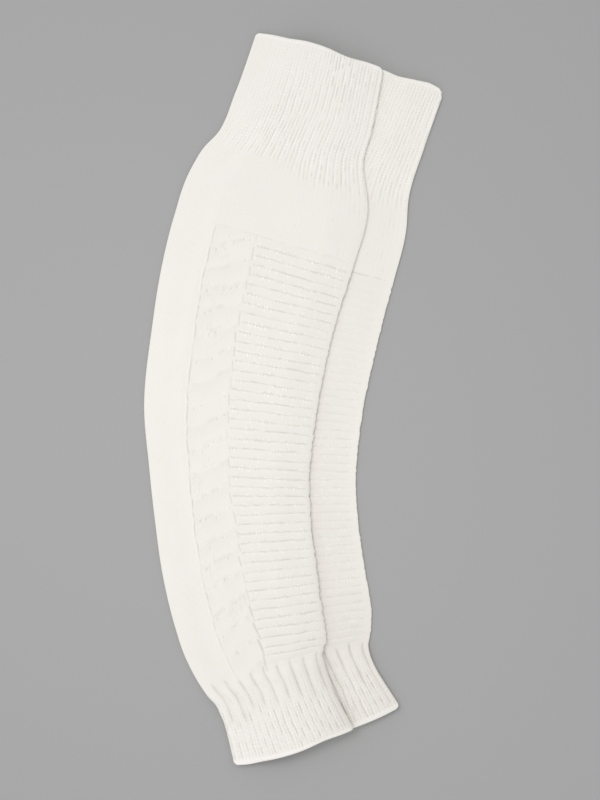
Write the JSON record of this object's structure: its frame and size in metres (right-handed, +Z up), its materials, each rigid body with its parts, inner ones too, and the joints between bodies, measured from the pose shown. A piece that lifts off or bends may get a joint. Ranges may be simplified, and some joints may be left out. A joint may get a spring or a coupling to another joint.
{
  "type": "pair of footless wool stockings",
  "caption": "Pair of cream knitted wool leg warmers with ribbed cuffs, cable strip and cross-ridged panel, laid flat one on the other",
  "frame": {"origin": "under the middle of the pair's box, on the surface that it lies on", "axes": "+Z up from the surface, +Y up the legs from the ankle cuffs to the top cuffs, +X to the side where the rear stocking shows"},
  "size_m": [0.211, 0.5136, 0.0115],
  "materials": {
    "rib_wool": "matt fine rib knit",
    "plain_wool": "matt plain stockinette knit, lightly brushed",
    "cable_wool": "matt cable knit",
    "ridge_wool": "matt cross-ridged knit",
    "ankle_wool": "matt gathered rib knit"
  },
  "bodies": {
    "root": {"near_top_cuff": "rib_wool", "near_upper_band": "plain_wool", "near_plain_panel": "plain_wool", "near_cable_panel_upper": "cable_wool", "near_cable_panel_under": "cable_wool", "near_ridge_panel": "ridge_wool", "near_ankle_cuff": "ankle_wool", "rear_top_cuff": "rib_wool", "rear_upper_band": "plain_wool", "rear_plain_panel": "plain_wool", "rear_cable_panel_upper": "cable_wool", "rear_cable_panel_under": "cable_wool", "rear_ridge_panel": "ridge_wool", "rear_ankle_cuff": "ankle_wool"}
  },
  "joints": []
}
